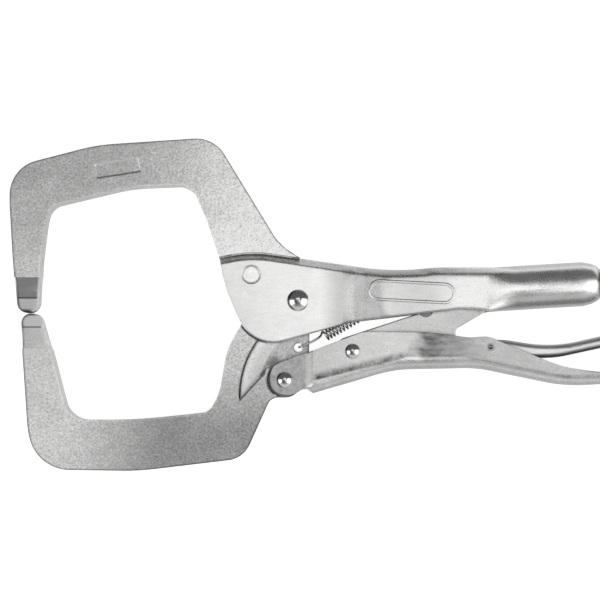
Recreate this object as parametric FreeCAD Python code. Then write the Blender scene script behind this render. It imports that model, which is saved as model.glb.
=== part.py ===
import FreeCAD, Part
import math
import os

V = FreeCAD.Vector

# Driving dimensions, millimetres. The main pivot is the drawing origin, X runs to the handles, Y up,
# Z across the sheet. Every shape is moved to the shared frame just before it is written.
FRAME_THICK = 12.0          # C frames
TANG_THICK = 8.0            # frame tangs between the cheeks and ears
SHEET = 2.5                 # handle sheet
CHEEK_GAP = 8.2             # between the cheeks, and between the ears
BODY_GAP = 12.8             # inside the upper channel behind the flare
GRIP_GAP = 12.0             # inside the lower channel behind the joggle
TUBE_R = 8.9                # outside radius of the rolled tube
TUBE_BORE = 6.4
SCREW_BORE = 5.8
SCREW_R = 5.74
SCREW_PITCH = 2.0
KNOB_R = 7.2
HEX_ACROSS = 8.0
RUNNING = 0.05              # radial clearance of the pivots

PIVOT_MAIN = (0.0, 0.0)
PIVOT_HANDLE = (-5.4, -31.8)
PIVOT_LINK = (21.8, -20.3)
PIVOT_LEVER = (76.8, -18.6)
LINK_REAR = (79.6, 5.0)
JAW_RIVET = (-18.7, 10.4)
SPRING_HOLE = (0.1, -18.7)
SPRING_ANCHOR = (42.0, 3.4)
COIL_START = (10.9, -14.0)
COIL_END = (38.0, 1.2)
COIL_R = 1.95               # to the middle of the wire
WIRE_R = 0.43
TUBE_START = (77.8, 4.6)
TUBE_SLOPE = math.radians(3.4)
TUBE_END = 43.2             # along the tube from its start
UPPER_TIP = (-108.2, -0.7)
LOWER_TIP = (-107.4, -9.0)
UPPER_TIP_R = 4.2
TIP_GAP = 0.2
BEVEL_START = 3.2           # level where the tips' side bevels start
SCOOP_STEP = 1.0            # steep edge of the lower jaw's crescent scoop

MAIN_SHANK, MAIN_HEAD, MAIN_DOME = 3.4, 4.3, 2.0
HANDLE_SHANK, HANDLE_HEAD, HANDLE_DOME = 2.5, 3.2, 1.6
LINK_SHANK, LINK_HEAD, LINK_DOME = 2.3, 3.0, 1.5
LEVER_SHANK = 1.6
FLUSH_R = 3.5
TOP_BEND = 2.9              # slanted bend along the upper handle's top

CHEEK_OUT = CHEEK_GAP / 2 + SHEET
BODY_OUT = TUBE_R
EAR_OUT = CHEEK_GAP / 2 + SHEET - 0.1
GRIP_OUT = GRIP_GAP / 2 + SHEET

# Bounding box of the whole clamp in drawing coordinates, for the move to the shared frame
BOX_X = (-115.376, 162.0)
BOX_Y = (-68.122, 64.801)
BOX_Z = GRIP_OUT + LINK_DOME

# Edges used by more than one solid: (x, y, corner radius)
CHEEK_TOP = [(-31.5, 17.4, 0), (-18.8, 19.9, 50), (38.0, 11.5, 90), (55.0, 13.25, 60), (76.0, 13.25, 0)]
CHEEK_LOW = [(76.0, -4.5, 0), (66.0, -3.3, 40), (22.4, -8.4, 60), (-18.2, -19.4, 15), (-29.5, 5.4, 60)]
GRIP_TOP = [(-10.9, -26.3, 5.2), (26.0, -12.5, 12), (52.0, -12.7, 80), (68.5, -14.9, 16),
            (75.8, -14.3, 10), (104.5, -26.2, 50), (122.0, -29.3, 80), (162.0, -25.8, 0)]
GRIP_LOW = [(162.0, -31.4, 0), (107.2, -34.3, 60), (72.0, -27.0, 50), (38.5, -27.7, 50),
            (6.0, -37.2, 3), (2.8, -34.8, 3), (-2.4, -38.2, 5), (-11.2, -36.9, 5.4)]


def outline(corners):
    """Flat closed face: straight lines joined by tangent arcs at the corners."""
    spans = []
    count = len(corners)
    for i in range(count):
        here = V(corners[i][0], corners[i][1], 0)
        radius = corners[i][2]
        back = V(corners[i - 1][0], corners[i - 1][1], 0) - here
        ahead = V(corners[(i + 1) % count][0], corners[(i + 1) % count][1], 0) - here
        back.normalize()
        ahead.normalize()
        if radius <= 0:
            spans.append((here, None, here))
            continue
        half = back.getAngle(ahead) / 2
        reach = radius / math.tan(half)
        inward = back + ahead
        inward.normalize()
        crown = here + inward * (radius / math.sin(half) - radius)
        spans.append((here + back * reach, crown, here + ahead * reach))
    edges = []
    for i in range(count):
        start, crown, end = spans[i]
        following = spans[(i + 1) % count][0]
        if crown is not None:
            edges.append(Part.Arc(start, crown, end).toShape())
        if end.distanceToPoint(following) > 1e-4:
            edges.append(Part.makeLine(end, following))
    return Part.Face(Part.Wire(edges))


def plate(corners, half):
    """Outline in XY, symmetric about Z = 0."""
    face = outline(corners)
    face.translate(V(0, 0, -half))
    return face.extrude(V(0, 0, 2 * half))


def plan(corners, low, high):
    """Outline in XZ between two Y levels."""
    face = outline(corners)
    face.rotate(V(0, 0, 0), V(1, 0, 0), 90)
    face.translate(V(0, low, 0))
    return face.extrude(V(0, high - low, 0))


def end_view(corners, low, high):
    """Outline whose first coordinate is Z and second is Y, between two X levels."""
    face = outline(corners)
    face.rotate(V(0, 0, 0), V(0, 1, 0), -90)
    face.translate(V(low, 0, 0))
    return face.extrude(V(high - low, 0, 0))


def across(centre, radius, half):
    """Cylinder along Z through a point of the drawing."""
    return Part.makeCylinder(radius, 2 * half, V(centre[0], centre[1], -half), V(0, 0, 1))


def along_tube(start, end, radius):
    """Cylinder on the tube's axis."""
    axis = V(math.cos(TUBE_SLOPE), math.sin(TUBE_SLOPE), 0)
    base = V(TUBE_START[0], TUBE_START[1], 0) + axis * start
    return Part.makeCylinder(radius, end - start, base, axis)


def on_tube(shape):
    """Moves a shape built on the X axis onto the tube's axis."""
    shape.rotate(V(0, 0, 0), V(0, 0, 1), math.degrees(TUBE_SLOPE))
    shape.translate(V(TUBE_START[0], TUBE_START[1], 0))
    return shape


def turned(profile):
    """Solid of revolution about the X axis from (x, radius, corner radius) corners."""
    return outline(profile).revolve(V(0, 0, 0), V(1, 0, 0), 360)


def both_sides(tool):
    """The tool and its mirror image across Z = 0."""
    return [tool, tool.mirror(V(0, 0, 0), V(0, 0, 1))]


def pick(solid, wanted):
    """Edges a test picks by the middle of each edge and its direction there."""
    picked = []
    for edge in solid.Edges:
        middle = (edge.FirstParameter + edge.LastParameter) / 2
        if wanted(edge.valueAt(middle), edge.tangentAt(middle)):
            picked.append(edge)
    return picked


def soften(solid, radius, wanted):
    """Fillet of the edges a test picks."""
    return solid.makeFillet(radius, pick(solid, wanted))


def domed_pin(centre, shank, head, dome, half):
    """Rivet along Z: shank between two faces, domed heads outside them."""
    rise = (head ** 2 + dome ** 2) / (2 * dome)
    pin = across(centre, shank, half)
    cap = Part.makeSphere(rise, V(centre[0], centre[1], half + dome - rise))
    keep = Part.makeCylinder(head, dome, V(centre[0], centre[1], half), V(0, 0, 1))
    cap = cap.common(keep)
    return pin.fuse(both_sides(cap)).removeSplitter()


def tip_taper(low, base, nose, nose_r, half_nose):
    """Keeps a jaw tip's section: full at the base level, ground down to a round nose."""
    far = 80.0 if base > nose else -80.0
    end = nose - nose_r if base > nose else nose + nose_r
    corners = [(FRAME_THICK / 2 + 1, far, 0), (FRAME_THICK / 2 + 1, base, 0), (FRAME_THICK / 2, base, 0),
               (half_nose, nose, 3), (half_nose - 1.4, end, 2.0),
               (1.4 - half_nose, end, 2.0), (-half_nose, nose, 3), (-FRAME_THICK / 2, base, 0),
               (-FRAME_THICK / 2 - 1, base, 0), (-FRAME_THICK / 2 - 1, far, 0)]
    return end_view(corners, -125, -88)


def tip_bevels(tip, radius, base, wide, narrow):
    """Cutter for the slanted sides of a jaw tip; wide and narrow are its outlines' X at the base."""
    x, y = tip
    side = -1 if base > y else 1
    wires = []
    for r, ends, level in ((radius + 0.15, wide, BEVEL_START), (radius - 1.9, narrow, FRAME_THICK / 2 + 0.1)):
        wire = outline([(x - r, y + side * r, r), (ends[0], base, 0), (ends[1], base, 0),
                        (x + r, y + side * r, r)]).OuterWire
        wire.translate(V(0, 0, level))
        wires.append(wire)
    far = y + side * 10
    block = Part.makeBox(24, abs(base - far), 2.9, V(x - 11, min(base, far), BEVEL_START))
    return both_sides(block.cut(Part.makeLoft(wires, True, True)))


def nose_corners(tip, radius, side):
    """Two corners whose arcs make a half circle round the tip; side is -1 below, +1 above."""
    x, y = tip
    return (x - radius, y + side * radius, radius), (x + radius, y + side * radius, radius)


def cheek_face(grow):
    """Outline of the upper handle's front, grown by a gap."""
    face = outline(CHEEK_TOP + CHEEK_LOW)
    if grow:
        face = face.makeOffset2D(grow)
    return face


def fixed_jaw():
    left, right = nose_corners(UPPER_TIP, UPPER_TIP_R, -1)
    frame = plate([left, (-114.2, 18.2, 200), (-115.4, 39.0, 60), (-115.2, 53.2, 14), (-80.4, 62.2, 72),
                   (-33.6, 65.3, 13.2), (-7.4, 22.4, 20), (1.0, 17.0, 0), (-5.0, 8.0, 0), (-26.0, 8.0, 0),
                   (-30.6, 14.0, 0), (-36.4, 31.8, 60), (-42.9, 46.6, 8), (-67.2, 45.5, 64),
                   (-99.6, 37.8, 6.8), (-101.2, 31.0, 30), (-103.2, 15.4, 60), right], FRAME_THICK / 2)
    keep = tip_taper(-88, 9.3, 0.8, 0.8 - UPPER_TIP[1] + UPPER_TIP_R, 4.9)
    body = frame.cut(Part.makeBox(37, 100, 40, V(-125, -30, -20))).fuse(frame.common(keep))
    bevels = tip_bevels(UPPER_TIP, UPPER_TIP_R, 9.3, (-113.7, -103.2), (-112.9, -103.7))
    body = body.removeSplitter().cut(bevels)
    shoulder = cheek_face(0.15)
    shoulder.translate(V(0, 0, -20))
    body = body.cut(shoulder.extrude(V(0, 0, 40)))
    tang = plate([(-26.0, 21.0, 0), (-27.4, 14.0, 3), (-24.0, 1.0, 4), (-19.0, -4.4, 2), (-8.6, 9.0, 0),
                  (-3.5, 13.0, 0), (-1.5, 17.2, 0), (-8.0, 24.0, 0)], TANG_THICK / 2)
    tang = tang.cut(across(PIVOT_MAIN, 11.2, 10))
    body = body.fuse(tang).removeSplitter()
    body = body.cut(across(JAW_RIVET, FLUSH_R, 10))
    # plain recessed panel with sloping sides
    panel = outline([(-80.6, 48.6, 0.8), (-62.6, 51.4, 0.8), (-63.8, 57.4, 0.8), (-81.6, 54.6, 0.8)])
    floor = panel.makeOffset2D(-0.6).OuterWire
    floor.translate(V(0, 0, FRAME_THICK / 2 - 0.5))
    rim = panel.OuterWire
    rim.translate(V(0, 0, FRAME_THICK / 2 + 0.02))
    return body.cut(Part.makeLoft([floor, rim], True, True))


def lower_jaw():
    x, y = LOWER_TIP
    radius = UPPER_TIP[1] - UPPER_TIP_R - TIP_GAP - y
    left, right = nose_corners(LOWER_TIP, radius, 1)
    frame = plate([right, (-98.6, -21.6, 200), (-94.4, -38.0, 60), (-91.6, -47.9, 9.5), (-66.0, -48.0, 200),
                   (-35.6, -44.8, 6.5), (-31.4, -37.0, 20), (-28.7, -20.0, 30), (-22.6, -9.2, 3),
                   (-8.4, 5.8, 0), (8.0, 0.0, 0), (9.4, -9.8, 6), (4.6, -12.8, 2), (4.4, -22.0, 3),
                   (1.7, -28.0, 6), (1.9, -38.9, 7), (-10.9, -38.8, 4.5), (-21.9, -63.2, 10.5),
                   (-64.0, -68.2, 90), (-104.9, -67.6, 16.6), (-108.2, -51.0, 30), left],
                  FRAME_THICK / 2)
    keep = tip_taper(-88, -19.4, -10.6, y + radius + 10.6, 4.9)
    body = frame.cut(Part.makeBox(37, 100, 40, V(-125, -90, -20))).fuse(frame.common(keep))
    bevels = tip_bevels(LOWER_TIP, radius, -19.4, (-110.5, -99.1), (-110.1, -100.3))
    body = body.removeSplitter().cut(bevels)
    step = FRAME_THICK / 2 - TANG_THICK / 2
    # room for the cheeks
    tools = []
    cheeks = cheek_face(0.45)
    cheeks.translate(V(0, 0, TANG_THICK / 2))
    tools.append(cheeks.extrude(V(0, 0, 10)))
    # crescent scoop that runs out of the thick frame, and the thin tang to its right
    scoop = Part.makeCone(30.2, 37.0, step - SCOOP_STEP, V(14.0, -38.0, TANG_THICK / 2), V(0, 0, 1))
    rim = Part.makeCone(37.0, 38.0, 1.5, V(14.0, -38.0, FRAME_THICK / 2 - SCOOP_STEP), V(0, 0, 1))
    scoop = scoop.fuse(rim)
    region = outline([(-26, -8, 0), (-26, -38.4, 0), (-23.6, -39.6, 0.8), (-14.2, -29.6, 0),
                      (-12.4, -26.6, 1.5), (-10.8, -27.6, 0), (12, -27.6, 0), (12, 14, 0), (-16, 14, 0)])
    region.translate(V(0, 0, TANG_THICK / 2))
    tools.append(scoop.common(region.extrude(V(0, 0, 10))))
    tools.append(Part.makeBox(30, 24, 10, V(-12, -12, TANG_THICK / 2)))
    # pocket for the handle's ear
    tools.append(Part.makeCylinder(6.95, 10, V(PIVOT_HANDLE[0], PIVOT_HANDLE[1], TANG_THICK / 2), V(0, 0, 1)))
    tools.append(Part.makeBox(20, 20, 10, V(PIVOT_HANDLE[0], -44, TANG_THICK / 2)))
    tools.append(Part.makeBox(4, 8, 10, V(PIVOT_HANDLE[0] - 2.5, -44, TANG_THICK / 2)))
    for tool in tools:
        body = body.cut(both_sides(tool))
    hub = across(PIVOT_MAIN, 10.6, TANG_THICK / 2)
    body = body.fuse(hub).removeSplitter()
    body = body.cut([across(PIVOT_MAIN, MAIN_SHANK + RUNNING, 10),
                     across(PIVOT_HANDLE, HANDLE_SHANK + RUNNING, 10),
                     across(SPRING_HOLE, 1.7, 10)])
    return body


def upper_channel():
    """Outside of the upper handle in front of the tube."""
    side = plate(CHEEK_TOP + CHEEK_LOW, 12)
    wide = plan([(-35, -CHEEK_OUT, 0), (-35, CHEEK_OUT, 0), (20, CHEEK_OUT, 30), (35, BODY_OUT, 30),
                 (80, BODY_OUT, 0), (80, -BODY_OUT, 0), (35, -BODY_OUT, 30), (20, -CHEEK_OUT, 30)], -25, 25)
    body = side.common(wide)
    top = pick(body, lambda p, t: p.y > 10.5 and abs(p.z) > 6 and p.x < 75.9 and abs(t.x) > 0.7)
    return body.makeChamfer(TOP_BEND, top)


def upper_hollow():
    """Room between the upper handle's walls, open below."""
    roof = []
    for x, y, r in CHEEK_TOP:
        roof.append((x, y - SHEET, r))
    side = plate([(-32.5, 14.9, 0)] + roof[1:] + [(76.0, -30, 0), (-32.5, -30, 0)], 12)
    narrow = CHEEK_GAP / 2
    wide = BODY_GAP / 2
    room = plan([(-35, -narrow, 0), (-35, narrow, 0), (20, narrow, 30), (35, wide, 30), (80, wide, 0),
                 (80, -wide, 0), (35, -wide, 30), (20, -narrow, 30)], -35, 25)
    return side.common(room)


def section(x, corners):
    """Closed wire across X from (z, y, radius) corners of its +Z half, listed from the bottom up."""
    other = [(-z, y, r) for z, y, r in reversed(corners)]
    face = outline(corners + other)
    face.rotate(V(0, 0, 0), V(0, 1, 0), -90)
    face.translate(V(x, 0, 0))
    return face.OuterWire


def round_section(distance, radius, breaks):
    """Section of the tube at a distance along it, cut into arcs at the given angles from +Z towards +Y."""
    edges = []
    for i in range(len(breaks)):
        start = math.radians(breaks[i])
        end = math.radians(breaks[(i + 1) % len(breaks)] + (360 if i == len(breaks) - 1 else 0))
        points = []
        for angle in (start, (start + end) / 2, end):
            points.append(V(0, radius * math.sin(angle), radius * math.cos(angle)))
        edges.append(Part.Arc(*points).toShape())
    wire = Part.Wire(edges)
    wire.translate(V(distance, 0, 0))
    return on_tube(wire)


def fixed_handle():
    channel_end = CHEEK_TOP[-1][0]
    roof = CHEEK_TOP[-1][1]
    joined = 9.5
    outer = Part.makeLoft([section(channel_end, [(TUBE_R, CHEEK_LOW[0][1], 0), (TUBE_R, roof - TOP_BEND, 0),
                                                 (TUBE_R - TOP_BEND, roof, 0)]),
                           round_section(joined, TUBE_R, [-50, 38, 58, 122, 142, 230])], True, True)
    tube = on_tube(turned([(joined, 0, 0), (joined, TUBE_R, 0), (36.8, TUBE_R, 0), (41.0, TUBE_R - 0.9, 7),
                           (TUBE_END, 6.6, 0), (TUBE_END, 0, 0)]))
    body = upper_channel().fuse([outer, tube])
    inner = Part.makeLoft([section(channel_end, [(BODY_GAP / 2, -2.2, 0), (BODY_GAP / 2, roof - SHEET, 0)]),
                           round_section(joined + 1, TUBE_BORE, [-50, 48, 132, 230])], True, True)
    room = BODY_GAP / 2
    mouth = plan([(70, -room, 0), (70, room, 0), (78.5, room, 6), (78.5, -room, 6)], -12, 4)
    slot = Part.makeBox(33.0, 30, CHEEK_GAP, V(-32, 0, -CHEEK_GAP / 2))
    for tool in (upper_hollow(), inner, mouth, slot, along_tube(joined + 1, 24.0, TUBE_BORE),
                 along_tube(20.0, 60.0, SCREW_BORE)):
        body = body.cut(tool)
    # lanced tab that the spring's rear hook goes through
    tab = Part.makeBox(2.2, 9.4, 5.0, V(SPRING_ANCHOR[0] - 0.2, SPRING_ANCHOR[1] - 2.2, -2.5))
    tab = soften(tab, 1.2, lambda p, t: p.y < SPRING_ANCHOR[1] - 2 and abs(t.x) > 0.9)
    eye = Part.makeCylinder(1.0, 8, V(SPRING_ANCHOR[0] - 3, SPRING_ANCHOR[1], 0), V(1, 0, 0))
    body = body.fuse(tab.cut(eye))
    return body.cut([across(PIVOT_MAIN, MAIN_SHANK, 20), across(JAW_RIVET, FLUSH_R, 20)])


def grip_block(front, half, rear_trim, bend, shift):
    """Part of the lower handle behind its ears, with the bend rounded; shift raises the floor."""
    floor = [(x, y + shift, r) for x, y, r in GRIP_LOW[:4]]
    roof = GRIP_TOP[2:]
    if shift:
        roof = [(front, -5.0, 0), (175.0, -5.0, 0)]
    start = GRIP_LOW[4][1] + shift + (front - GRIP_LOW[4][0]) * 0.292
    side = [(front, start, 0)]
    if not shift:
        side += [(front, GRIP_TOP[0][1] + (front - GRIP_TOP[0][0]) * 0.374, 0), GRIP_TOP[1]]
    side += roof + floor
    rear = GRIP_TOP[-1][0] - rear_trim
    round_end = half - 1.9
    shape = plan([(front, -half, 0), (front, half, 0), (138, half, 60), (rear, half - 1.2, round_end),
                  (rear, 1.2 - half, round_end), (138, -half, 60)], -45, 5)
    block = plate(side, 12).common(shape)

    def low_edge(p, t):
        level = -26.0 + shift if p.x < 90 else -29.6 + shift
        return p.x > front + 0.5 and abs(p.z) > 3 and abs(t.x) > 0.2 and p.y < level and p.x < rear - 0.5

    return soften(block, bend, low_edge)


def lower_handle():
    neck = 3.4
    front = 6.0
    ears = plate(GRIP_TOP + GRIP_LOW, EAR_OUT)
    ears = ears.common(Part.makeBox(40, 40, 40, V(neck - 40, -45, -20)))
    body = grip_block(front, GRIP_OUT, 0, 4.6, 0)
    joggle = Part.makeLoft([section(neck, [(EAR_OUT, -35.3, 0.8), (EAR_OUT, -20.95, 0.4)]),
                            section(front, [(GRIP_OUT, -37.19, 4.6), (GRIP_OUT, -19.98, 0.4)])], True, True)
    body = body.fuse([ears, joggle]).removeSplitter()
    body = body.cut(grip_block(front + 1.2, GRIP_GAP / 2, SHEET, 2.4, SHEET))
    body = body.cut(Part.makeBox(30.0, 60, CHEEK_GAP, V(-20, -50, -CHEEK_GAP / 2))
                    .common(plate([(-20, 0, 0), (-20, -50, 0), (3.6, -50, 0), (3.6, -33.6, 0),
                                   (9.6, -33.6, 0), (9.6, 0, 0)], 20)))
    return body.cut([across(PIVOT_HANDLE, HANDLE_SHANK, 20), across(PIVOT_LINK, LINK_SHANK, 20),
                     across(PIVOT_LEVER, LEVER_SHANK, 20)])


def toggle_link():
    half = 5.6
    px, py = PIVOT_LINK
    rx, ry = LINK_REAR
    side = plate([(px - 7.2, py + 4.2, 5.4), (48.0, -5.2, 10), (73.5, 7.4, 10), (rx + 4.2, ry + 5.2, 4.2),
                  (rx + 4.4, ry - 3.9, 3.3), (77.2, 1.0, 2), (74.6, -4.8, 2), (63.0, -11.4, 2.0),
                  (63.4, -16.4, 2.6), (57.0, -17.0, 8), (px + 3.0, py - 6.4, 5.0),
                  (px - 6.2, py - 4.6, 5.0)], half)
    narrow = plan([(10, -half, 0), (10, half, 0), (60, half, 20), (75, 4.3, 20), (90, 4.3, 0),
                   (90, -4.3, 0), (75, -4.3, 20), (60, -half, 20)], -40, 20)
    body = side.common(narrow)
    dent = both_sides(Part.makeCylinder(3.0, 5, V(51.2, -3.7, half - 1.3)))
    inside = half - 1.9
    room = plate([(px - 12, py + 2.2, 0), (48.0, -7.6, 10), (73.0, 4.6, 10), (rx - 2.6, ry + 1.2, 1.5),
                  (rx - 2.6, -40, 0), (px - 12, -40, 0)], inside)
    neck = plan([(5, -inside, 0), (5, inside, 0), (60, inside, 20), (75, 2.4, 20), (90, 2.4, 0),
                 (90, -2.4, 0), (75, -2.4, 20), (60, -inside, 20)], -50, 20)
    body = soften(body, 0.5, lambda p, t: p.y > -16 and p.x > 24 and p.x < 72 and abs(t.x) > 0.7
                  and p.y > -14.6 + (p.x - 22) * 0.33 and abs(p.z) > 4)
    return body.cut([room.common(neck), across(PIVOT_LINK, LINK_SHANK + RUNNING, 20)] + dent)


def release_lever():
    half = 5.5
    x, y = PIVOT_LEVER
    side = plate([(64.4, -17.6, 1.5), (72.0, -15.2, 4), (84.0, -15.7, 20), (102.0, -18.7, 60),
                  (142.0, -9.6, 0), (142.0, -14.6, 0), (104.0, -22.8, 40), (92.0, -23.2, 20),
                  (66.0, -22.6, 2)], half)
    ends = plan([(60, -half, 1.5), (60, half, 1.5), (142.0, half, 5.2), (142.0, -half, 5.2)], -40, 0)
    body = side.common(ends)
    body = soften(body, 2.2, lambda p, t: p.x > 66.5 and p.x < 136 and abs(p.z) > 5 and abs(t.x) > 0.7
                  and p.y < -19.4 + max(0.0, p.x - 104) * 0.2)
    inside = half - 1.6
    room = plate([(55, -5, 0), (150, -5, 0), (150, -11.2, 0), (104.0, -21.2, 40), (92.0, -21.6, 20),
                  (66.2, -21.0, 0), (55, -21.0, 0)], inside)
    tail = plan([(50, -inside, 0), (50, inside, 0), (140.4, inside, 3.6), (140.4, -inside, 3.6)], -40, 0)
    return body.cut([room.common(tail), across((x, y), LEVER_SHANK + RUNNING, 20)])


def lever_pin():
    pin = across(PIVOT_LEVER, LEVER_SHANK, GRIP_OUT)
    dimple = Part.makeSphere(1.1, V(PIVOT_LEVER[0], PIVOT_LEVER[1], GRIP_OUT + 0.45))
    return pin.cut(both_sides(dimple))


def wire_run(points, bends, radius):
    """Round wire along straight runs joined by tangent arcs of the given bend radii."""
    edges = []
    last = points[0]
    for i in range(1, len(points) - 1):
        here = points[i]
        back = points[i - 1] - here
        ahead = points[i + 1] - here
        back.normalize()
        ahead.normalize()
        half = back.getAngle(ahead) / 2
        reach = bends[i - 1] / math.tan(half)
        inward = back + ahead
        inward.normalize()
        crown = here + inward * (bends[i - 1] / math.sin(half) - bends[i - 1])
        edges.append(Part.makeLine(last, here + back * reach))
        edges.append(Part.Arc(here + back * reach, crown, here + ahead * reach).toShape())
        last = here + ahead * reach
    edges.append(Part.makeLine(last, points[-1]))
    direction = points[1] - points[0]
    ring = Part.Wire([Part.makeCircle(radius, points[0], direction)])
    return Part.Wire(edges).makePipeShell([ring], True, False)


def return_spring():
    """Coil as a hollow barrel, with its two hooks."""
    start = V(COIL_START[0], COIL_START[1], 0)
    end = V(COIL_END[0], COIL_END[1], 0)
    barrel = Part.makeCylinder(COIL_R + WIRE_R, (end - start).Length, start, end - start)
    core = Part.makeCylinder(COIL_R - WIRE_R, (end - start).Length, start, end - start)
    hole = V(SPRING_HOLE[0], SPRING_HOLE[1], 0)
    front = wire_run([hole + V(0.2, 0.0, 1.0), hole + V(0.2, 0.0, 4.8), V(6.8, -16.2, 4.8),
                      V(10.4, -13.2, 1.9), V(11.8, -12.4, 1.9)], [1.1, 1.5, 1.5], WIRE_R)
    eye = V(SPRING_ANCHOR[0], SPRING_ANCHOR[1], 0)
    rear = wire_run([end + V(-0.8, -0.3, 1.9), end + V(1.6, 0.7, 1.9), eye + V(-1.8, 0, 0),
                     eye + V(2.6, 0, 0)], [0.9, 0.9], WIRE_R)
    return barrel.cut(core).fuse([front, rear])


def screw_shank():
    body = turned([(7.2, 0, 0), (7.2, 4.2, 1.2), (15.0, 4.2, 0), (22.0, SCREW_R, 0), (44.6, SCREW_R, 0),
                   (44.6, 0, 0)])
    grooves = []
    for i in range(4):
        x = 23.6 + i * SCREW_PITCH
        grooves.append(turned([(x, SCREW_R + 0.5, 0), (x + 1.4, SCREW_R + 0.5, 0),
                               (x + 0.7, SCREW_R - 0.9, 0)]))
    return on_tube(body.cut(grooves))


def screw_knob():
    body = turned([(44.6, 0, 0), (44.6, 5.0, 0), (46.2, 5.0, 0), (46.2, KNOB_R, 1.0), (60.6, KNOB_R, 1.4),
                   (60.6, 0, 0)])
    cuts = []
    count = 30
    for i in range(count):
        flute = Part.makeCylinder(0.42, 12.4, V(46.9, KNOB_R + 0.12, 0), V(1, 0, 0))
        flute.rotate(V(0, 0, 0), V(1, 0, 0), i * 360 / count)
        cuts.append(flute)
    reach = HEX_ACROSS / math.sqrt(3)
    corners = []
    for i in range(7):
        angle = math.radians(60 * i)
        corners.append(V(60.7, reach * math.cos(angle), reach * math.sin(angle)))
    cuts.append(Part.Face(Part.makePolygon(corners)).extrude(V(-6.5, 0, 0)))
    return on_tube(body.cut(cuts))


def build():
    """All nodes in the shared frame."""
    shapes = {
        "fixed_handle": fixed_handle(),
        "fixed_jaw": fixed_jaw(),
        "jaw_rivet": across(JAW_RIVET, FLUSH_R, CHEEK_OUT + 0.05),
        "main_pivot": domed_pin(PIVOT_MAIN, MAIN_SHANK, MAIN_HEAD, MAIN_DOME, CHEEK_OUT),
        "lower_jaw": lower_jaw(),
        "lower_handle": lower_handle(),
        "handle_pivot": domed_pin(PIVOT_HANDLE, HANDLE_SHANK, HANDLE_HEAD, HANDLE_DOME, EAR_OUT),
        "link_pivot": domed_pin(PIVOT_LINK, LINK_SHANK, LINK_HEAD, LINK_DOME, GRIP_OUT),
        "toggle_link": toggle_link(),
        "release_lever": release_lever(),
        "lever_pin": lever_pin(),
        "return_spring": return_spring(),
        "screw_shank": screw_shank(),
        "screw_knob": screw_knob(),
    }
    move = V(-(BOX_X[0] + BOX_X[1]) / 2, -(BOX_Y[0] + BOX_Y[1]) / 2, BOX_Z)
    for shape in shapes.values():
        shape.translate(move)
    return shapes


if __name__ == "__main__":
    os.makedirs("parts", exist_ok=True)
    for name, shape in build().items():
        shape.exportStep("parts/%s.step" % name)
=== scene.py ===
import math

import bpy
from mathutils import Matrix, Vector


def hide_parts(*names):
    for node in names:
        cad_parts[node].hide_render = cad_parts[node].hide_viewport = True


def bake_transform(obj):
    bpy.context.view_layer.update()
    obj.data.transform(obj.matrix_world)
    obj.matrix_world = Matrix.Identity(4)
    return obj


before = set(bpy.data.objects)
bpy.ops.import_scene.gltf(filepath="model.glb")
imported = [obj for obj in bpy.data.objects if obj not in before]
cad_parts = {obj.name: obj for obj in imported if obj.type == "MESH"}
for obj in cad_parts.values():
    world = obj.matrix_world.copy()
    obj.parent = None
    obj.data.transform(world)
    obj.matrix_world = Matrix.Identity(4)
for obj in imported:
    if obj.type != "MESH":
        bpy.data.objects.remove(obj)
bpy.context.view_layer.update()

MM = 0.001
# The drawing's origin is the main pivot; its middle plane lies 10 mm above the floor.
DRAWING = Vector((-23.312, 1.6605, 10.0))

# Places, radii and heights on the tool, in the drawing's millimetres.
PIVOT_MAIN = (0.0, 0.0)
PIVOT_HANDLE = (-5.4, -31.8)
PIVOT_LINK = (21.8, -20.3)
HEAD_MAIN = 4.3
HEAD_HANDLE = 3.2
HEAD_LINK = 3.0
FLUSH_RIVET = (-18.7, 10.4)
LINK_DENT = (51.2, -3.7)
# The ground jaw tips: X where they start, Y where they meet their noses, Y between the jaws.
TIP_START = -94
NOSE_LINES = (1.1, -10.6)
JAW_GAP = -4.7
# Inside the frame's throat: faces that look away from it are its outer ones.
THROAT = (-64, 0)
# Above the middle plane: the frame's face, and the scoop's floor at its low and high end.
FRAME_FACE = 6.0
SCOOP_LOW = 4.3
SCOOP_ROOT = 5.0
# A point on the scoop's straight lower side, the direction square to it, and a spot of painted shade.
SCOOP_SIDE = (-23.6, -39.6)
SCOOP_ASLANT = (-0.729, 0.685)
SCOOP_SHADE_SPOT = (-9.4, -25.0)
# The long panel pressed into the upper handle's side.
PANEL_MIDDLE = (45.5, 3.4)
PANEL_TURN = math.radians(-3.0)
PANEL_HALF = 13.0
PANEL_RADIUS = 3.7

# Edges that turn more than this are rounded, after points this close (in metres) are joined.
SHARP_ANGLE = math.radians(35)
WELD_REACH = 1e-6

# The return spring, in the drawing's millimetres; the hooks' points lie about the hole and the anchor.
SPRING_HOLE = (0.1, -18.7)
SPRING_ANCHOR = (42.0, 3.4)
COIL_START = (10.9, -14.0)
COIL_END = (38.0, 1.2)
COIL_R = 1.95
COIL_TURNS = 20.5
COIL_STEPS = 20
HOOK_STEPS = 8
FRONT_HOOK = ((0.3, 0.1, -2.2), (0.5, 0.1, 2.5), (1.1, 0.3, 4.4), (2.4, 0.8, 4.75),
              (4.6, 1.8, 4.6), (7.2, 3.2, 3.4), (9.0, 4.6, 1.6))
REAR_HOOK = ((-1.6, -0.2, 0.5), (0.0, 0.0, 0.1), (1.9, 0.1, 0.0), (2.8, 0.3, 0.0))
WIRE_R = 0.43
WIRE_SIDES = 12

# The studio, in metres: its brightness low down, overhead and behind, then the floor and lights.
WORLD_LOW = 0.62
WORLD_HIGH = 0.27
WORLD_BACK = 0.10
FLOOR_R = 2.6
FLOOR_Z = -0.0002
FLOOR_SIDES = 96
FLOOR_GREY = 0.42
FLOOR_GLOW = 0.48
FLOOR_GLOW_SEEN = 0.88
AIM = (-0.03, 0.0, 0.01)
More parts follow.
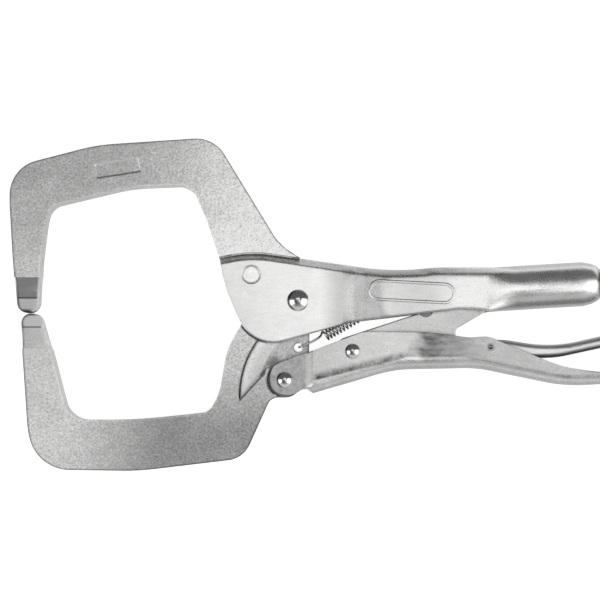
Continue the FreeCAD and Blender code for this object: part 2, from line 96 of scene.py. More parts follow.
# Name, place, size and brightness.
SOFTBOXES = (
    ("top", (0.02, 0.02, 1.0), (0.70, 0.50), 1.20),
    ("left", (-0.85, -0.26, 0.68), (0.62, 0.95), 1.5),
    ("right", (0.78, -0.16, 0.66), (0.95, 0.95), 1.3),
)

# The camera, in the row frame's millimetres; its height is measured from the tool's top.
VIEW_WIDTH = 240.0
VIEW_HEIGHT = 750.0
VIEW_MIDDLE = (-22.5, 1.86)
CAMERA_FOOT = (-22.5, -25.0)
TOOL_TOP = 16.0
SENSOR = 36.0


def at(x, y, z=0.0):
    """A point of the drawing, in metres in the row frame."""
    return (Vector((x, y, z)) + DRAWING) * MM


def placed(name, data):
    """A new object in the scene, made from its data."""
    obj = bpy.data.objects.new(name, data)
    bpy.context.scene.collection.objects.link(obj)
    return obj


def map_range(tree, value, low, high, to_low=0.0, to_high=1.0, smooth=False):
    """A node that maps the value from one range to another, and keeps it inside."""
    node = tree.nodes.new("ShaderNodeMapRange")
    node.interpolation_type = "SMOOTHSTEP" if smooth else "LINEAR"
    tree.links.new(value, node.inputs["Value"])
    ends = {"From Min": low, "From Max": high, "To Min": to_low, "To Max": to_high}
    for socket, number in ends.items():
        node.inputs[socket].default_value = number
    return node


# ---------------------------------------------------------------- materials

class Paint:
    """One material and short ways to wire its nodes."""

    def __init__(self, name, metallic=1.0, roughness=0.35, grey=0.75):
        self.material = bpy.data.materials.new(name)
        self.material.use_nodes = True
        self.tree = self.material.node_tree
        self.nodes = self.tree.nodes
        self.links = self.tree.links
        self.shader = self.nodes["Principled BSDF"]
        self.shader.inputs["Metallic"].default_value = metallic
        self.shader.inputs["Roughness"].default_value = roughness
        self.shader.inputs["Base Color"].default_value = (grey, grey, grey, 1)
        self.place = self.nodes.new("ShaderNodeTexCoord").outputs["Object"]
        split = self.nodes.new("ShaderNodeSeparateXYZ")
        self.links.new(self.place, split.inputs[0])
        self.x, self.y, self.z = split.outputs
        normal = self.nodes.new("ShaderNodeSeparateXYZ")
        geometry = self.nodes.new("ShaderNodeNewGeometry")
        self.links.new(geometry.outputs["True Normal"], normal.inputs[0])
        _, self.ny, self.nz = normal.outputs

    def math(self, kind, a, b=0.0, clamp=False):
        """A maths node; a number sets its socket, anything else is linked to it."""
        node = self.nodes.new("ShaderNodeMath")
        node.operation = kind
        node.use_clamp = clamp
        for slot, value in zip(node.inputs, (a, b)):
            if isinstance(value, (int, float)):
                slot.default_value = value
            else:
                self.links.new(value, slot)
        return node.outputs[0]

    def add(self, a, b, clamp=False):
        return self.math("ADD", a, b, clamp)

    def sub(self, a, b):
        return self.math("SUBTRACT", a, b)

    def mul(self, first, *values, clamp=False):
        for value in values:
            first = self.math("MULTIPLY", first, value, clamp)
        return first

    def most(self, a, b):
        return self.math("MAXIMUM", a, b)

    def absolute(self, value):
        return self.math("ABSOLUTE", value)

    def rest(self, value):
        """What is left of 1."""
        return self.sub(1.0, value)

    def lean(self):
        """1 on faces parallel to the tool's middle plane, 0 on its side walls."""
        return self.absolute(self.nz)

    def span(self, value, low, high, to_low=0.0, to_high=1.0, smooth=False):
        """The value mapped from one range to another, and kept inside it."""
        return map_range(self.tree, value, low, high, to_low, to_high, smooth).outputs[0]

    def vary(self, noise, to_low, to_high):
        """Noise stretched from its usual range to the given one."""
        return self.span(noise, 0.3, 0.7, to_low, to_high)

    def across(self, low, high, to_low=0.0, to_high=1.0, smooth=False):
        """A span along the drawing's X, in millimetres."""
        return self.span(self.x, at(low, 0).x, at(high, 0).x, to_low, to_high, smooth)

    def along(self, low, high, to_low=0.0, to_high=1.0, smooth=False):
        """A span along the drawing's Y, in millimetres."""
        return self.span(self.y, at(0, low).y, at(0, high).y, to_low, to_high, smooth)

    def offset(self, centre):
        """How far a point lies from a place in the drawing, in X and in Y."""
        middle = at(*centre)
        return self.sub(self.x, middle.x), self.sub(self.y, middle.y)

    def away(self, dx, dy):
        """Length of a flat offset."""
        return self.math("SQRT", self.add(self.mul(dx, dx), self.mul(dy, dy)))

    def dot(self, dx, dy, weight_x, weight_y):
        """The offset measured along a direction."""
        return self.add(self.mul(dx, weight_x), self.mul(dy, weight_y))

    def noise(self, size, detail=2.0, rough=0.5, stretch=(1, 1, 1), shift=0.0):
        """Noise whose features are about size millimetres across."""
        mapping = self.nodes.new("ShaderNodeMapping")
        mapping.inputs["Scale"].default_value = stretch
        mapping.inputs["Location"].default_value = (shift, shift * 0.7, shift * 0.3)
        self.links.new(self.place, mapping.inputs["Vector"])
        node = self.nodes.new("ShaderNodeTexNoise")
        node.inputs["Scale"].default_value = 1000.0 / size
        node.inputs["Detail"].default_value = detail
        node.inputs["Roughness"].default_value = rough
        self.links.new(mapping.outputs[0], node.inputs["Vector"])
        return node.outputs[0]

    def cells(self, size):
        """Distance from the middles of cells about size millimetres across."""
        node = self.nodes.new("ShaderNodeTexVoronoi")
        node.inputs["Scale"].default_value = 1000.0 / size
        self.links.new(self.place, node.inputs["Vector"])
        return node.outputs["Distance"]

    def rounded(self, samples):
        """A Bevel node, whose output is the normal of rounded edges."""
        bevel = self.nodes.new("ShaderNodeBevel")
        bevel.samples = samples
        return bevel

    def edges(self, radius):
        """About 1 on sharp edges and 0 on faces."""
        bevel = self.rounded(4)
        bevel.inputs["Radius"].default_value = radius * MM
        dot = self.nodes.new("ShaderNodeVectorMath")
        dot.operation = "DOT_PRODUCT"
        self.links.new(bevel.outputs[0], dot.inputs[0])
        self.links.new(self.nodes.new("ShaderNodeNewGeometry").outputs["Normal"], dot.inputs[1])
        return self.span(dot.outputs["Value"], 0.995, 0.86)

    def grime_and_shade(self, reach, low):
        """Painted shade with grime: from low in corners and gaps to 1 in the open."""
        node = self.nodes.new("ShaderNodeAmbientOcclusion")
        node.samples = 6
        node.inputs["Distance"].default_value = reach * MM
        return self.span(node.outputs["AO"], 0.25, 0.85, low, 1.0)

    def disc(self, centre, radius, soft):
        """1 inside a circle of the drawing, 0 outside, over a soft rim; both sides of the tool."""
        far = self.away(*self.offset(centre))
        return self.span(far, (radius + soft) * MM, radius * MM, smooth=True)

    def grey(self, value):
        """A grey level as the base colour."""
        mix = self.nodes.new("ShaderNodeCombineColor")
        self.links.new(value, mix.inputs[0])
        self.links.new(value, mix.inputs[1])
        self.links.new(self.mul(value, 0.992), mix.inputs[2])
        self.links.new(mix.outputs[0], self.shader.inputs["Base Color"])

    def rough(self, value):
        """A value as the roughness."""
        self.links.new(value, self.shader.inputs["Roughness"])

    def bump(self, height, depth, strength=1.0, after=None):
        """Relief from a height between 0 and 1, depth in millimetres."""
        node = self.nodes.new("ShaderNodeBump")
        node.inputs["Strength"].default_value = strength
        node.inputs["Distance"].default_value = depth * MM
        self.links.new(height, node.inputs["Height"])
        if after is not None:
            self.links.new(after, node.inputs["Normal"])
        self.links.new(node.outputs[0], self.shader.inputs["Normal"])
        return node.outputs[0]


def forging(name, tone):
    """Shot-blasted, plated forging: coarse grain, cloudy tone, ground facets and noses at the jaw tips,
    with painted shade and highlights.
    """
    p = Paint(name)
    grain = p.noise(0.85, 2, 0.7)
    fine = p.noise(0.42, 1, 0.5, shift=0.3)
    cloud = p.noise(14, 3, 0.55, shift=1.7)
    patch = p.noise(4.5, 2, 0.5, shift=6.1)
    pits = p.span(p.cells(1.5), 0.20, 0.06)
    edge = p.edges(0.7)
    # ground faces of the tips lean a little from the flat, and their noses lean more
    lean = p.lean()
    at_tip = p.across(TIP_START, TIP_START - 1)
    ground = p.mul(at_tip, p.mul(p.span(lean, 0.9965, 0.9935), p.span(lean, 0.80, 0.83)))
    nose = p.mul(ground, p.span(lean, 0.986, 0.981))
    coined = p.mul(p.span(lean, 0.995, 0.985), p.span(lean, 0.70, 0.75))
    upper = p.along(JAW_GAP - 0.1, JAW_GAP + 0.1)
    speckle = p.mul(p.span(grain, 0.32, 0.68, 0.78, 1.20), p.vary(fine, 0.90, 1.10))
    # cloudy tone, grain and pits, with painted shade and grime in corners and gaps
    base = p.mul(tone(p), p.vary(cloud, 0.93, 1.06), p.vary(patch, 0.96, 1.04),
                 speckle, p.span(pits, 0, 1, 1.0, 0.80), p.grime_and_shade(3.4, 0.30))
    strokes = p.vary(p.noise(0.9, 2, 0.5, (0.25, 2.5, 1)), 0.95, 1.05)
    # painted shade: the upper jaw's ground facet is far darker than the lower jaw's
    facet_grey_and_shade = p.span(upper, 0, 1, 0.82, 0.28)
    nose_tone = p.span(upper, 0, 1, 0.88, 0.80)
    steel = p.add(p.mul(facet_grey_and_shade, p.rest(nose)), p.mul(nose_tone, nose))
    base = p.add(p.mul(base, p.rest(coined)), p.mul(coined, 0.74, p.vary(grain, 0.94, 1.05)))
    value = p.add(p.mul(base, p.rest(ground)), p.mul(steel, strokes, ground))
    # painted shade: a dark line where each ground face meets its nose
    for line_y in NOSE_LINES:
        off = p.absolute(p.sub(p.y, at(0, line_y).y))
        line = p.mul(ground, p.span(off, 0.55 * MM, 0.20 * MM, 0.0, 0.60))
        value = p.mul(value, p.rest(line))
    worn = p.mul(edge, p.span(p.noise(3.5, 2, 0.6, shift=4), 0.42, 0.62))
    p.grey(p.mul(p.add(value, p.mul(worn, 0.06)), edge_shade_and_highlight(p), clamp=True))
    p.links.new(p.rest(p.mul(nose, 0.8, p.rest(upper))), p.shader.inputs["Metallic"])
    matt = p.vary(grain, 0.50, 0.36)
    p.rough(p.sub(matt, p.mul(p.add(worn, ground), 0.08)))
    relief = p.sub(p.add(p.mul(grain, 0.7), p.mul(fine, 0.3)), p.mul(pits, 0.4))
    first = p.bump(p.noise(9, 2, 0.5, shift=2.2), 0.20, 0.6)
    p.bump(p.mul(relief, p.span(coined, 0, 1, 1.0, 0.12)), 0.22, 0.8, first)
    return p.material


def edge_shade_and_highlight(p):
    """Painted shade on the rounding along the frame's outer edges, a painted highlight along the inner
    edges.
    """
    bevel = p.rounded(8)
    bevel.inputs["Radius"].default_value = 1.7 * MM
    split = p.nodes.new("ShaderNodeSeparateXYZ")
    p.links.new(bevel.outputs[0], split.inputs[0])
    normal_x, normal_y, normal_z = split.outputs
    round_edge = p.mul(p.span(p.absolute(normal_z), 0.99, 0.84), p.span(p.lean(), 0.30, 0.50))
    dx, dy = p.offset(THROAT)
    out = p.dot(normal_x, normal_y, dx, dy)
    side = p.span(out, -2.0 * MM, 2.0 * MM, -0.25, 0.85)
    return p.rest(p.mul(round_edge, side))


def top_painted_light(p):
    """Painted light: mid grey along the top, brighter down the right arm."""
    right = p.across(-70, -16, 0.0, 0.33, smooth=True)
    low = p.along(50, 14, 0.0, 0.14)
    return p.add(p.add(right, low), 0.57)


def low_painted_light(p):
    """Painted light and shade: light on the tip's arm, darker to the right, lighter again by the pivot."""
    fall = p.across(-98, -50, 0.78, 0.37, smooth=True)
    rise = p.along(-52, -14, 0.0, 0.41)
    near = p.across(-60, -30)
    flat = p.add(fall, p.mul(rise, near))
    # painted shade: the thin tang, set back from the frame's face, is darker; the scoop is painted bright
    # at its top and fades into it
    height = p.absolute(p.sub(p.z, at(0, 0, 0).z))
    low = p.mul(p.span(height, (FRAME_FACE - 0.03) * MM, (FRAME_FACE - 0.10) * MM),
                p.across(-25.6, -25.3), p.span(p.lean(), 0.30, 0.40))
    scoop = p.span(height, SCOOP_LOW * MM, (SCOOP_ROOT - 0.05) * MM, 0.82, 1.35, smooth=True)
    # painted shade: a dark root along the scoop's edge and a dark line by its straight lower side
    root = p.span(height, (SCOOP_ROOT - 0.03) * MM, (SCOOP_ROOT + 0.08) * MM, smooth=True)
    aslant = p.dot(*p.offset(SCOOP_SIDE), *SCOOP_ASLANT)
    side = p.mul(p.span(p.absolute(aslant), 1.1 * MM, 0.35 * MM, smooth=True),
                 p.across(-12.0, -13.4), p.across(-23.9, -23.1),
                 p.span(p.lean(), 0.05, 0.15))
    # painted shade: a soft dark spot in the hollow near the top of the ear
    smear = p.disc(SCOOP_SHADE_SPOT, 1.0, 3.4)
    dark = p.most(p.mul(root, 0.34), p.mul(smear, 0.55))
    scoop = p.mul(scoop, p.rest(dark))
    keep = p.mul(low, p.sub(scoop, 1.0))
    keep = p.mul(p.add(keep, 1.0), p.rest(p.mul(side, 0.78)))
    return p.mul(flat, keep)


def sheet_metal(name, level, matt, halo=None, tone=None, rugged=1.0, soft=None):
    """Pressed and plated satin sheet: level is its grey and matt its roughness.

    halo adds relief, tone scales the grey with painted light and shade, rugged scales the grain and soft
    rounds the bends.
    """
    p = Paint(name)
    cloud = p.noise(7, 3, 0.55, shift=0.9)
    broad = p.noise(24, 2, 0.5, shift=5.1)
    grain = p.noise(0.55, 2, 0.6, shift=2.4)
    pull = p.noise(1.6, 2, 0.55, (0.28, 1.4, 1), shift=7.7)
    pits = p.span(p.cells(2.1), 0.12, 0.03)
    edge = p.edges(0.4)
    worn = p.mul(edge, p.span(p.noise(2.4, 2, 0.6, shift=6), 0.4, 0.6))
    swing = 0.06 * rugged
    # cloudy tone, grain, pull marks and pits, with painted shade and grime in corners and gaps
    base = p.mul(p.vary(cloud, level * 0.94, level * 1.05),
                 p.span(broad, 0.35, 0.65, 0.95, 1.03),
                 p.vary(grain, 1 - swing, 1 + swing),
                 p.span(pull, 0.35, 0.65, 0.97, 1.02),
                 p.span(pits, 0, 1, 1.0, 0.88), p.grime_and_shade(1.8, 0.45))
    if tone:
        base = p.mul(base, tone(p))
    p.grey(p.add(base, p.mul(worn, 0.06), clamp=True))
    p.rough(p.add(p.vary(cloud, matt - 0.04, matt + 0.05), p.vary(grain, -0.03, 0.04)))
    height = p.add(p.mul(grain, 0.5), p.mul(pull, 0.5))
    bends = None
    if soft:
        bevel = p.rounded(8)
        p.links.new(soft(p), bevel.inputs["Radius"])
        bends = bevel.outputs[0]
    first = p.bump(p.noise(11, 2, 0.5, shift=3.3), 0.22, 0.55, bends)
    if halo:
        first = p.bump(halo(p), 0.26, 0.8, first)
    p.bump(p.sub(height, p.mul(pits, 0.4)), 0.05 * rugged, 0.7, first)
    return p.material


def upper_painted_light(p):
    """Painted light and shade: bright cheeks and tube end, darker where the channel widens behind the
    pivot.
    """
    front = p.across(-28, 2, 0.95, 1.05, smooth=True)
    fall = p.add(front, p.across(12, 44, 0.0, -0.25, smooth=True))
    rise = p.add(p.across(48, 70, 0.0, 0.26, smooth=True),
                 p.across(74, 92, 0.0, 0.14, smooth=True))
    shade = p.along(11.4, 7.5, 0.80, 1.0, smooth=True)
    near = p.mul(p.across(16, 38, smooth=True), p.across(74, 60))
    shade = p.rest(p.mul(near, p.rest(shade)))
    # painted light on the faces that turn up into the top edge, strongest towards the tube
    band_light = p.mul(p.span(p.ny, 0.22, 0.55), p.across(60, 80, 0.30, 0.88))
    # evens out the step in the light where the channel starts to narrow
    dip = p.add(p.across(7.5, 17.4, 1.0, 0.70, smooth=True),
                p.across(17.8, 23.4, 0.0, 0.36, smooth=True))
    dip = p.add(p.mul(p.sub(dip, 1.0), p.span(p.lean(), 0.6, 0.9)), 1.0)
    # painted shade: the tube's crown and belly are darker than its flank
    at_tube = p.across(60, 78)
    crown_shade = p.add(p.span(p.ny, 0.66, 0.84, 0.0, 0.50), p.span(p.ny, -0.35, -0.75, 0.0, 0.28))
    crown_shade = p.rest(p.mul(crown_shade, at_tube))
    whole = p.add(p.mul(p.add(fall, rise), shade, dip), band_light)
    return p.mul(whole, crown_shade)


def upper_soft(p):
    """Bend radius: tight at the cheeks, wide where the channel turns into the tube."""
    front = p.across(8, 20, 0.3 * MM, 1.7 * MM)
    return p.most(front, p.across(50, 72, 1.0 * MM, 2.8 * MM))


def lower_crease(p):
    """Height above the long crease where the grip's side starts to turn under."""
    climb = p.across(4, 44, at(0, -32.4).y, at(0, -22.5).y)
    drop = p.across(66, 92, 0.0, 5.2 * MM)
    return p.add(p.sub(p.y, climb), drop)


def lower_tone_and_light(p):
    """Dull ears; painted highlights on the step, the bend below and the strip under the crease; painted
    shade above the crease and on a patch halfway along the side.
    """
    ears = p.across(2.6, 3.6, 0.72, 1.0, smooth=True)
    step_highlight = p.mul(p.across(2.9, 4.0, smooth=True), p.across(5.5, 4.5, smooth=True))
    above = lower_crease(p)
    flat = p.span(p.lean(), 0.90, 0.97)
    # painted shade: a dark band just above the crease, on the front half of the side
    front = p.mul(p.across(5.0, 7.5), p.across(50, 40))
    smear = p.mul(front, flat, p.span(above, 3.8 * MM, 0.3 * MM, smooth=True),
                  p.span(above, -0.6 * MM, 0.1 * MM),
                  p.span(p.noise(2.2, 3, 0.6, shift=4.4), 0.35, 0.65, 0.55, 1.1))
    # painted shade: a dark patch halfway along the side, fading towards the grip's end
    wander = p.add(p.x, p.vary(p.noise(5.0, 2, 0.5, shift=2.9), -2.2 * MM, 2.2 * MM))
    painted_dark = p.mul(p.span(wander, at(44.5, 0).x, at(51.0, 0).x, smooth=True),
                  p.across(77, 53, 0.20, 1.0), flat,
                  p.span(p.noise(2.6, 3, 0.6, (0.5, 1.6, 1), shift=9.4), 0.35, 0.65, 0.70, 1.1))
    side = p.sub(p.across(6, 26, 0.84, 1.0), p.mul(smear, 0.72))
    side = p.mul(side, p.rest(p.mul(painted_dark, 0.76)))
    # painted highlights on the bend underneath, on the flat strip under the crease and on the step
    bend_highlight = p.mul(p.span(p.ny, -0.12, -0.35), p.across(4, 7))
    bend_highlight = p.mul(bend_highlight, p.span(p.ny, -0.80, -0.62, -0.1, 0.45))
    under_crease_light = p.mul(p.across(5.0, 7.5), p.across(92, 78), flat,
                 p.span(above, 0.2 * MM, -0.8 * MM), p.across(30, 52, 0.36, 0.72))
    painted_highlights = p.add(p.add(bend_highlight, under_crease_light), p.mul(step_highlight, 0.22))
    blotch = p.span(p.noise(1.9, 3, 0.6, shift=12.3), 0.32, 0.66, 0.74, 1.12)
    ears = p.mul(ears, p.most(blotch, p.across(2.6, 5.0)))
    return p.add(p.mul(ears, side), painted_highlights)


def lever_tone(p):
    """The lever's underside is dull, in the shade of the grip."""
    return p.span(p.ny, -0.15, -0.60, 1.0, 0.34)


def link_dent_shade(p):
    """Painted shade: the blind dent in the link's flanks is dark inside."""
    return p.span(p.disc(LINK_DENT, 2.9, 0.2), 0, 1, 1.0, 0.45)


def lower_soft(p):
    """Bend radius: sharp at the ears, wide along the grip."""
    under = p.span(lower_crease(p), 0.8 * MM, -0.8 * MM, 0.3 * MM, 2.6 * MM)
    return p.mul(under, p.across(6, 12, 0.15, 1.0), p.across(98, 80, 0.25, 1.0))


def pressed_marks(p):
    """Dish round the main pivot, and a plain long panel pressed into the handle's side."""
    dish = p.disc(PIVOT_MAIN, 5.0, 3.2)
    dx, dy = p.offset(PANEL_MIDDLE)
    cos, sin = math.cos(PANEL_TURN), math.sin(PANEL_TURN)
    lengthwise = p.dot(dx, dy, cos, sin)
    up = p.sub(p.mul(dy, cos), p.mul(dx, sin))
    out = p.most(p.sub(p.absolute(lengthwise), PANEL_HALF * MM), 0.0)
    far = p.away(out, up)
    ring = p.mul(p.span(far, (PANEL_RADIUS - 0.7) * MM, (PANEL_RADIUS - 0.2) * MM, smooth=True),
                 p.span(far, (PANEL_RADIUS + 0.7) * MM, (PANEL_RADIUS + 0.2) * MM, smooth=True))
    side = p.span(p.lean(), 0.85, 0.95)
    return p.sub(p.mul(p.mul(ring, side), 0.5), p.mul(dish, 0.3))


def polished(name, centre, radius):
    """Burnished rivet head: a cloudy shine and a few scuffs; painted dark reflections left of its middle
    and on its left rim, and painted shade with grime round its foot.
    """
    p = Paint(name, roughness=0.1, grey=0.82)
    smear = p.noise(1.6, 3, 0.6, shift=1.1)
    scuff = p.noise(0.5, 2, 0.7, (3, 0.4, 1), shift=8)
    x, y = centre
    painted_dark = p.disc((x - 0.10 * radius, y - 0.12 * radius), 0.10 * radius, 0.30 * radius)
    rim = p.rest(p.disc((x + 0.12 * radius, y), 0.80 * radius, 0.16 * radius))
    left = p.mul(rim, p.across(x, x - 0.5 * radius))
    unshaded_share = p.rest(p.mul(p.most(painted_dark, left), 0.80))
    p.grey(p.mul(p.vary(smear, 0.78, 0.88), unshaded_share, p.grime_and_shade(0.8, 0.4)))
    p.rough(p.add(p.span(smear, 0.35, 0.7, 0.10, 0.22), p.span(scuff, 0.6, 0.75, 0.0, 0.12)))
    p.bump(p.add(smear, p.mul(scuff, 0.3)), 0.03, 0.5)
    return p.material


def flush_rivet(name):
    """End of the jaw's rivet, spun flat and plated over: a ring and a soft centre."""
    p = Paint(name)
    grain = p.noise(0.55, 2, 0.6, shift=2.4)
    cloud = p.noise(2.4, 3, 0.6, shift=5.5)
    rim = p.sub(p.disc(FLUSH_RIVET, 3.35, 0.15), p.disc(FLUSH_RIVET, 2.95, 0.25))
    inner = p.sub(p.disc(FLUSH_RIVET, 1.7, 0.5), p.disc(FLUSH_RIVET, 0.9, 0.5))
    p.grey(p.mul(p.vary(cloud, 0.74, 0.84), p.vary(grain, 0.94, 1.04),
                 p.span(rim, 0, 1, 1.0, 0.8)))
    p.rough(p.vary(cloud, 0.26, 0.38))
    height = p.sub(p.mul(cloud, 0.35), p.mul(rim, 0.7))
    p.bump(p.add(height, p.mul(inner, 0.2)), 0.14, 0.7)
    return p.material


def wire_finish(name):
    """Drawn spring wire: fine lines and a light oil tone, with painted shade and grime where turns and
    parts lie close.
    """
    p = Paint(name)
    tone = p.noise(2.2, 2, 0.5, shift=3)
    lines = p.noise(0.22, 2, 0.6, (0.3, 1, 1), shift=6)
    p.grey(p.mul(p.vary(tone, 0.66, 0.80), p.grime_and_shade(0.9, 0.25)))
    p.rough(p.vary(lines, 0.16, 0.30))
    p.bump(lines, 0.012, 0.5)
    return p.material


def screw_finish(name):
    """Zinc-plated turned steel, a little darker than the handles, with painted shade and grime in its
    corners.
    """
    p = Paint(name)
    turned = p.noise(0.35, 2, 0.6, (3.0, 0.15, 0.15), shift=2)
    cloud = p.noise(5, 3, 0.55, shift=9)
    worn = p.mul(p.edges(0.35), p.span(p.noise(1.8, 2, 0.6, shift=3), 0.4, 0.6))
    base = p.mul(p.vary(cloud, 0.60, 0.70), p.vary(turned, 0.94, 1.05), p.grime_and_shade(1.2, 0.45))
    p.grey(p.add(base, p.mul(worn, 0.16), clamp=True))
    p.rough(p.add(p.vary(cloud, 0.26, 0.36), p.vary(turned, -0.03, 0.05)))
    p.bump(turned, 0.02, 0.6)
    return p.material


def dress(node, material, edge=None):
    """Gives a CAD node its material and, where edge is set, small round edges."""
    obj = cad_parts[node]
    if not obj.material_slots:
        obj.data.materials.append(material)
    for slot in obj.material_slots:
        slot.material = material
    if edge:
        weld = obj.modifiers.new("weld", "WELD")
        weld.merge_threshold = WELD_REACH
        bevel = obj.modifiers.new("round_edges", "BEVEL")
        bevel.width = edge * MM
        bevel.segments = 3
        bevel.limit_method = "ANGLE"
        bevel.angle_limit = SHARP_ANGLE
        bevel.use_clamp_overlap = True
        bevel.harden_normals = True


dress("fixed_jaw", forging("forging_fixed", top_painted_light), edge=0.8)
dress("lower_jaw", forging("forging_lower", low_painted_light), edge=0.8)
dress("fixed_handle",
      sheet_metal("sheet_upper", 0.67, 0.27, pressed_marks, upper_painted_light, rugged=1.2, soft=upper_soft),
      edge=0.25)
dress("lower_handle",
      sheet_metal("sheet_lower", 0.57, 0.30, tone=lower_tone_and_light, rugged=2.2, soft=lower_soft),
      edge=0.25)
dress("toggle_link", sheet_metal("sheet_link", 0.63, 0.36, tone=link_dent_shade, rugged=2.6), edge=0.2)
dress("release_lever", sheet_metal("sheet_lever", 0.80, 0.36, tone=lever_tone), edge=0.2)
dress("main_pivot", polished("rivet_main", PIVOT_MAIN, HEAD_MAIN))
dress("handle_pivot", polished("rivet_handle", PIVOT_HANDLE, HEAD_HANDLE))
dress("link_pivot", polished("rivet_link", PIVOT_LINK, HEAD_LINK))
dress("jaw_rivet", flush_rivet("rivet_flush"))
dress("lever_pin", sheet_metal("pin_end", 0.34, 0.30))
dress("screw_shank", screw_finish("screw_body"))
dress("screw_knob", screw_finish("screw_head"))


# ---------------------------------------------------------------- return spring

def smooth_path(points, steps):
    """Catmull-Rom points through the given ones."""
    padded = [points[0] * 2 - points[1]] + points + [points[-1] * 2 - points[-2]]
    path = []
    for i in range(1, len(padded) - 2):
        a, b, c, d = padded[i - 1:i + 3]
        for k in range(steps):
            t = k / steps
            path.append(0.5 * ((2 * b) + (c - a) * t + (2 * a - 5 * b + 4 * c - d) * t * t
                               + (3 * b - a - 3 * c + d) * t ** 3))
    path.append(points[-1])
    return path


def tube(name, path, radius, sides):
    """Round wire along a path, with closed ends."""
    verts = []
    faces = []
    side = None
    for i, point in enumerate(path):
        ahead = (path[min(i + 1, len(path) - 1)] - path[max(i - 1, 0)]).normalized()
        if side is None:
            side = ahead.orthogonal()
        side = (side - ahead * side.dot(ahead)).normalized()
        up = ahead.cross(side)
        for k in range(sides):
            angle = 2 * math.pi * k / sides
            verts.append(point + (side * math.cos(angle) + up * math.sin(angle)) * radius)
    for i in range(len(path) - 1):
        for k in range(sides):
            a = i * sides + k
            b = i * sides + (k + 1) % sides
            faces.append((a, b, b + sides, a + sides))
    faces.append(tuple(reversed(range(sides))))
    faces.append(tuple(range(len(verts) - sides, len(verts))))
    mesh = bpy.data.meshes.new(name)
    mesh.from_pydata([v[:] for v in verts], [], faces)
    for polygon in mesh.polygons:
        polygon.use_smooth = len(polygon.vertices) == 4
    return placed(name, mesh)


def spring_path():
    """Front hook through the tang's hole, the coil, rear hook through the handle's tab; metres."""
    start, end = at(*COIL_START), at(*COIL_END)
    axis = (end - start).normalized()
    up = Vector((-axis.y, axis.x, 0))
    out = Vector((0, 0, 1))
    coil = []
    count = int(COIL_TURNS * COIL_STEPS)
    for i in range(count + 1):
        share = i / count
        # the end turns lie closer than the middle ones
        spread = share - 0.012 * math.sin(2 * math.pi * share)
        angle = 2 * math.pi * COIL_TURNS * share
        centre = start + (end - start) * spread
        coil.append(centre + (up * math.cos(angle) + out * math.sin(angle)) * COIL_R * MM)
    hole, eye = at(*SPRING_HOLE), at(*SPRING_ANCHOR)
    front = [hole + Vector(offset) * MM for offset in FRONT_HOOK]
    front = smooth_path(front + [coil[0] - axis * 0.25 * MM - out * 0.5 * MM], HOOK_STEPS)
    tail = coil[-1]
    rear = [tail + axis * 0.35 * MM + out * 0.35 * MM,
            tail + (axis * 1.3 - up * 0.5 + out * 1.0) * MM]
    rear = smooth_path(rear + [eye + Vector(offset) * MM for offset in REAR_HOOK], HOOK_STEPS)
    return front[:-1] + coil + rear


spring = tube("return_spring_wire", spring_path(), WIRE_R * MM, WIRE_SIDES)
spring.data.materials.append(wire_finish("spring_wire_finish"))
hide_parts("return_spring")
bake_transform(spring)


# ---------------------------------------------------------------- floor, light and camera

def make_floor():
    """Pale sweep that shows nearly white and lights the tool only a little from below."""
    mesh = bpy.data.meshes.new("floor")
    rim = []
    for i in range(FLOOR_SIDES):
        angle = 2 * math.pi * i / FLOOR_SIDES
        rim.append((FLOOR_R * math.cos(angle), FLOOR_R * math.sin(angle), FLOOR_Z))
    mesh.from_pydata(rim, [], [tuple(range(FLOOR_SIDES))])
    floor = placed("floor", mesh)
    material = bpy.data.materials.new("floor_paper")
    material.use_nodes = True
    tree = material.node_tree
    shader = tree.nodes["Principled BSDF"]
    shader.inputs["Base Color"].default_value = (FLOOR_GREY, FLOOR_GREY, FLOOR_GREY, 1)
    shader.inputs["Roughness"].default_value = 0.9
    shader.inputs["Specular IOR Level"].default_value = 0.0
    shader.inputs["Emission Color"].default_value = (1, 1, 1, 1)
    seen = tree.nodes.new("ShaderNodeLightPath").outputs["Is Camera Ray"]
    glow = map_range(tree, seen, 0.0, 1.0, FLOOR_GLOW, FLOOR_GLOW_SEEN)
    tree.links.new(glow.outputs[0], shader.inputs["Emission Strength"])
    mesh.materials.append(material)


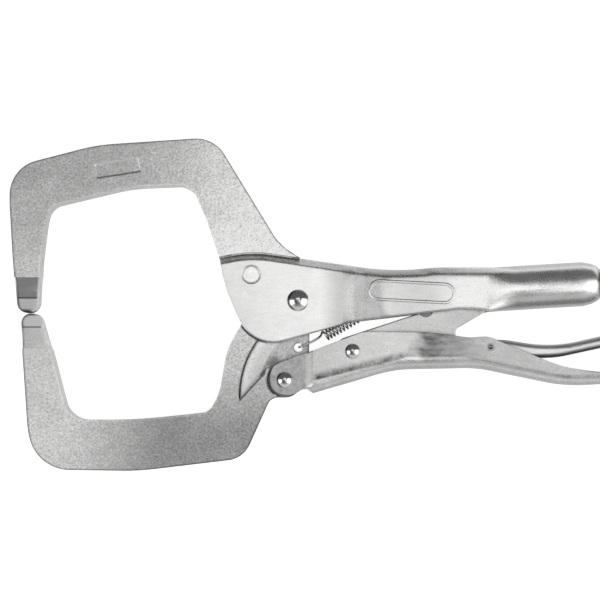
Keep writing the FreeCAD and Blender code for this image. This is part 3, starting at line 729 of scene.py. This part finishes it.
def make_world():
    """Dim studio, darker overhead and beyond the picture's top, white where the camera looks."""
    world = bpy.data.worlds.new("studio")
    bpy.context.scene.world = world
    world.use_nodes = True
    tree = world.node_tree
    nodes, links = tree.nodes, tree.links
    back = nodes["Background"]
    split = nodes.new("ShaderNodeSeparateXYZ")
    links.new(nodes.new("ShaderNodeTexCoord").outputs["Generated"], split.inputs[0])
    rise = map_range(tree, split.outputs["Z"], 0.45, 0.75, WORLD_LOW, WORLD_HIGH, smooth=True)
    shade = map_range(tree, split.outputs["Y"], -0.05, 0.32, to_high=WORLD_BACK, smooth=True)
    links.new(rise.outputs[0], shade.inputs["To Min"])
    seen = nodes.new("ShaderNodeLightPath").outputs["Is Camera Ray"]
    mix = nodes.new("ShaderNodeMix")
    mix.data_type = "FLOAT"
    links.new(seen, mix.inputs["Factor"])
    links.new(shade.outputs[0], mix.inputs["A"])
    mix.inputs["B"].default_value = 1.0
    links.new(mix.outputs["Result"], back.inputs["Strength"])
    back.inputs["Color"].default_value = (1, 1, 1, 1)


def softbox(name, place, size, level):
    """Rectangular light aimed at the tool; level is how bright its face looks."""
    data = bpy.data.lights.new(name, "AREA")
    data.shape = "RECTANGLE"
    data.size, data.size_y = size
    data.energy = level * math.pi * size[0] * size[1]
    light = placed(name, data)
    light.location = place
    light.rotation_mode = "QUATERNION"
    light.rotation_quaternion = (Vector(AIM) - Vector(place)).to_track_quat("-Z", "Y")


def make_camera():
    """Straight above a little below the picture's middle, with a small shift to the cropped picture."""
    data = bpy.data.cameras.new("camera")
    data.sensor_width = SENSOR
    data.lens = SENSOR * VIEW_HEIGHT / VIEW_WIDTH
    data.shift_x = (VIEW_MIDDLE[0] - CAMERA_FOOT[0]) / VIEW_WIDTH
    data.shift_y = (VIEW_MIDDLE[1] - CAMERA_FOOT[1]) / VIEW_WIDTH
    data.clip_start = 0.01
    data.clip_end = 20.0
    camera = placed("camera", data)
    camera.location = Vector((*CAMERA_FOOT, TOOL_TOP + VIEW_HEIGHT)) * MM
    bpy.context.scene.camera = camera


make_floor()
make_world()
for row in SOFTBOXES:
    softbox(*row)
make_camera()
bpy.context.scene.view_settings.view_transform = "Standard"
